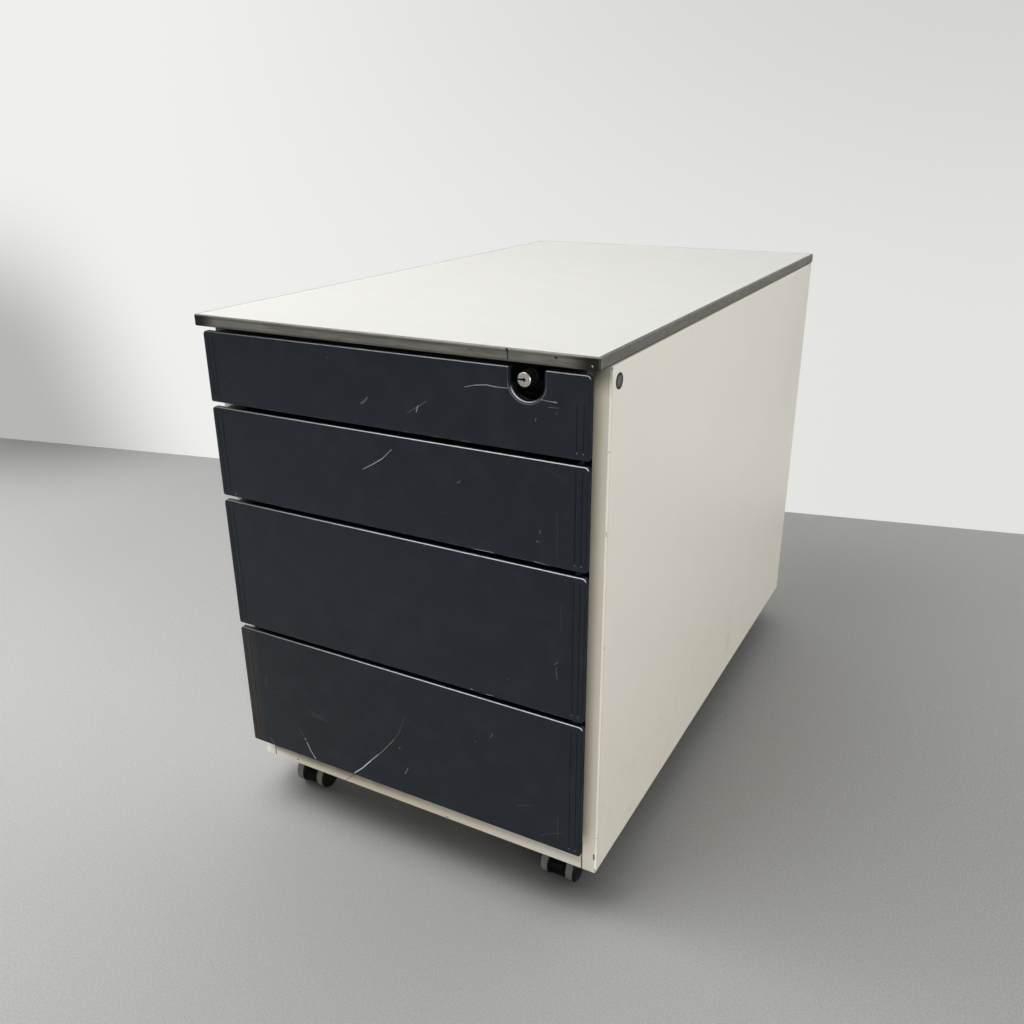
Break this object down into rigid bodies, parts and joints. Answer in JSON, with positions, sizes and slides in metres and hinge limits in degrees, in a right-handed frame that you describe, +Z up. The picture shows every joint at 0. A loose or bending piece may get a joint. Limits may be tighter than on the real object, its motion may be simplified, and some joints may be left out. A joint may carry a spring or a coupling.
{
  "type": "mobile drawer pedestal",
  "caption": "Mobile office drawer pedestal on twin-wheel castors: steel carcass, board top, moulded drawer fronts on telescopic runners and a central lock.",
  "frame": {"origin": "centre of the overall footprint on the floor, under the castors", "axes": "+X to the right seen from the front, +Y to the back, so the fronts face -Y, +Z up"},
  "size_m": [0.43, 0.753, 0.57],
  "materials": {
    "top_laminate": "warm white melamine laminate on chipboard, satin",
    "edge_band": "dark warm grey plastic edge band, satin",
    "carcass_paint": "cream powder coat, satin",
    "front_plastic": "anthracite moulded plastic, satin with fine scratches",
    "tray_paint": "grey powder coat, matt",
    "zinc_steel": "zinc plated steel",
    "black_plastic": "black moulded plastic",
    "lock_nickel": "nickel plated, slightly worn",
    "nylon": "natural nylon",
    "castor_plastic": "black moulded nylon",
    "wheel_plastic": "black moulded nylon with a grey tread"
  },
  "bodies": {
    "carcass": {"top_board": "top_laminate", "top_edge_band": "edge_band", "side_panel_left": "carcass_paint", "side_panel_right": "carcass_paint", "back_panel": "carcass_paint", "base_panel": "carcass_paint", "bottom_front_rail": "carcass_paint", "top_front_rail": "carcass_paint", "top_rear_rail": "carcass_paint", "top_screws": "zinc_steel", "side_caps": "black_plastic", "uprights_left": "zinc_steel", "uprights_right": "zinc_steel", "lock_sleeve": "black_plastic", "bar_guides": "nylon", "castor_plates": "zinc_steel", "castor_stems": "zinc_steel", "drawer_1_outer_runner_left": "zinc_steel", "drawer_1_outer_runner_right": "zinc_steel", "drawer_2_outer_runner_left": "zinc_steel", "drawer_2_outer_runner_right": "zinc_steel", "drawer_3_outer_runner_left": "zinc_steel", "drawer_3_outer_runner_right": "zinc_steel", "drawer_4_outer_runner_left": "zinc_steel", "drawer_4_outer_runner_right": "zinc_steel"},
    "lock": {"lock_core": "lock_nickel", "lock_rod": "zinc_steel"},
    "locking_bar": {"locking_bar": "zinc_steel"},
    "drawer_1": {"drawer_1_front": "front_plastic", "drawer_1_tray": "tray_paint", "drawer_1_inner_runner_left": "zinc_steel", "drawer_1_inner_runner_right": "zinc_steel"},
    "drawer_1_runners": {"drawer_1_middle_runners": "zinc_steel"},
    "drawer_2": {"drawer_2_front": "front_plastic", "drawer_2_tray": "tray_paint", "drawer_2_inner_runner_left": "zinc_steel", "drawer_2_inner_runner_right": "zinc_steel"},
    "drawer_2_runners": {"drawer_2_middle_runners": "zinc_steel"},
    "drawer_3": {"drawer_3_front": "front_plastic", "drawer_3_tray": "tray_paint", "drawer_3_inner_runner_left": "zinc_steel", "drawer_3_inner_runner_right": "zinc_steel"},
    "drawer_3_runners": {"drawer_3_middle_runners": "zinc_steel"},
    "drawer_4": {"drawer_4_front": "front_plastic", "drawer_4_tray": "tray_paint", "drawer_4_inner_runner_left": "zinc_steel", "drawer_4_inner_runner_right": "zinc_steel"},
    "drawer_4_runners": {"drawer_4_middle_runners": "zinc_steel"},
    "castor_front_left": {"castor_front_left_housing": "castor_plastic"},
    "castor_front_left_wheel_left": {"castor_front_left_wheel_left": "wheel_plastic"},
    "castor_front_left_wheel_right": {"castor_front_left_wheel_right": "wheel_plastic"},
    "castor_front_right": {"castor_front_right_housing": "castor_plastic"},
    "castor_front_right_wheel_left": {"castor_front_right_wheel_left": "wheel_plastic"},
    "castor_front_right_wheel_right": {"castor_front_right_wheel_right": "wheel_plastic"},
    "castor_rear_left": {"castor_rear_left_housing": "castor_plastic"},
    "castor_rear_left_wheel_left": {"castor_rear_left_wheel_left": "wheel_plastic"},
    "castor_rear_left_wheel_right": {"castor_rear_left_wheel_right": "wheel_plastic"},
    "castor_rear_right": {"castor_rear_right_housing": "castor_plastic"},
    "castor_rear_right_wheel_left": {"castor_rear_right_wheel_left": "wheel_plastic"},
    "castor_rear_right_wheel_right": {"castor_rear_right_wheel_right": "wheel_plastic"}
  },
  "joints": [
    {"name": "drawer_1_slide", "type": "slide", "parent": "carcass", "child": "drawer_1", "axis": [0, -1, 0], "range_m": [0, 0.56]},
    {"name": "drawer_1_runner_slide", "type": "slide", "parent": "carcass", "child": "drawer_1_runners", "axis": [0, -1, 0], "range_m": [0, 0.28]},
    {"name": "drawer_2_slide", "type": "slide", "parent": "carcass", "child": "drawer_2", "axis": [0, -1, 0], "range_m": [0, 0.56]},
    {"name": "drawer_2_runner_slide", "type": "slide", "parent": "carcass", "child": "drawer_2_runners", "axis": [0, -1, 0], "range_m": [0, 0.28]},
    {"name": "drawer_3_slide", "type": "slide", "parent": "carcass", "child": "drawer_3", "axis": [0, -1, 0], "range_m": [0, 0.56]},
    {"name": "drawer_3_runner_slide", "type": "slide", "parent": "carcass", "child": "drawer_3_runners", "axis": [0, -1, 0], "range_m": [0, 0.28]},
    {"name": "drawer_4_slide", "type": "slide", "parent": "carcass", "child": "drawer_4", "axis": [0, -1, 0], "range_m": [0, 0.56]},
    {"name": "drawer_4_runner_slide", "type": "slide", "parent": "carcass", "child": "drawer_4_runners", "axis": [0, -1, 0], "range_m": [0, 0.28]},
    {"name": "lock_turn", "type": "hinge", "parent": "carcass", "child": "lock", "pos_m": [0.15, -0.3765, 0.5462], "axis": [0, -1, 0], "range_deg": [0, 90]},
    {"name": "locking_bar_slide", "type": "slide", "parent": "carcass", "child": "locking_bar", "axis": [0, 0, 1], "range_m": [0, 0.00848]},
    {"name": "castor_front_left_swivel", "type": "hinge", "parent": "carcass", "child": "castor_front_left", "pos_m": [-0.164, -0.3055, 0.05], "axis": [0, 0, 1], "continuous": true},
    {"name": "castor_front_left_wheel_left_spin", "type": "hinge", "parent": "castor_front_left", "child": "castor_front_left_wheel_left", "pos_m": [-0.1784, -0.3175, 0.0165], "axis": [1, 0, 0], "continuous": true},
    {"name": "castor_front_left_wheel_right_spin", "type": "hinge", "parent": "castor_front_left", "child": "castor_front_left_wheel_right", "pos_m": [-0.1496, -0.3175, 0.0165], "axis": [1, 0, 0], "continuous": true},
    {"name": "castor_front_right_swivel", "type": "hinge", "parent": "carcass", "child": "castor_front_right", "pos_m": [0.164, -0.3055, 0.05], "axis": [0, 0, 1], "continuous": true},
    {"name": "castor_front_right_wheel_left_spin", "type": "hinge", "parent": "castor_front_right", "child": "castor_front_right_wheel_left", "pos_m": [0.1496, -0.3175, 0.0165], "axis": [1, 0, 0], "continuous": true},
    {"name": "castor_front_right_wheel_right_spin", "type": "hinge", "parent": "castor_front_right", "child": "castor_front_right_wheel_right", "pos_m": [0.1784, -0.3175, 0.0165], "axis": [1, 0, 0], "continuous": true},
    {"name": "castor_rear_left_swivel", "type": "hinge", "parent": "carcass", "child": "castor_rear_left", "pos_m": [-0.164, 0.3315, 0.05], "axis": [0, 0, 1], "continuous": true},
    {"name": "castor_rear_left_wheel_left_spin", "type": "hinge", "parent": "castor_rear_left", "child": "castor_rear_left_wheel_left", "pos_m": [-0.1784, 0.3195, 0.0165], "axis": [1, 0, 0], "continuous": true},
    {"name": "castor_rear_left_wheel_right_spin", "type": "hinge", "parent": "castor_rear_left", "child": "castor_rear_left_wheel_right", "pos_m": [-0.1496, 0.3195, 0.0165], "axis": [1, 0, 0], "continuous": true},
    {"name": "castor_rear_right_swivel", "type": "hinge", "parent": "carcass", "child": "castor_rear_right", "pos_m": [0.164, 0.3315, 0.05], "axis": [0, 0, 1], "continuous": true},
    {"name": "castor_rear_right_wheel_left_spin", "type": "hinge", "parent": "castor_rear_right", "child": "castor_rear_right_wheel_left", "pos_m": [0.1496, 0.3195, 0.0165], "axis": [1, 0, 0], "continuous": true},
    {"name": "castor_rear_right_wheel_right_spin", "type": "hinge", "parent": "castor_rear_right", "child": "castor_rear_right_wheel_right", "pos_m": [0.1784, 0.3195, 0.0165], "axis": [1, 0, 0], "continuous": true}
  ],
  "couplings": [
    {"joint": "drawer_1_runner_slide", "follows": "drawer_1_slide", "ratio": 0.5},
    {"joint": "drawer_2_runner_slide", "follows": "drawer_2_slide", "ratio": 0.5},
    {"joint": "drawer_3_runner_slide", "follows": "drawer_3_slide", "ratio": 0.5},
    {"joint": "drawer_4_runner_slide", "follows": "drawer_4_slide", "ratio": 0.5},
    {"joint": "lock_turn", "follows": "locking_bar_slide", "rad_per_m": 185.1}
  ]
}
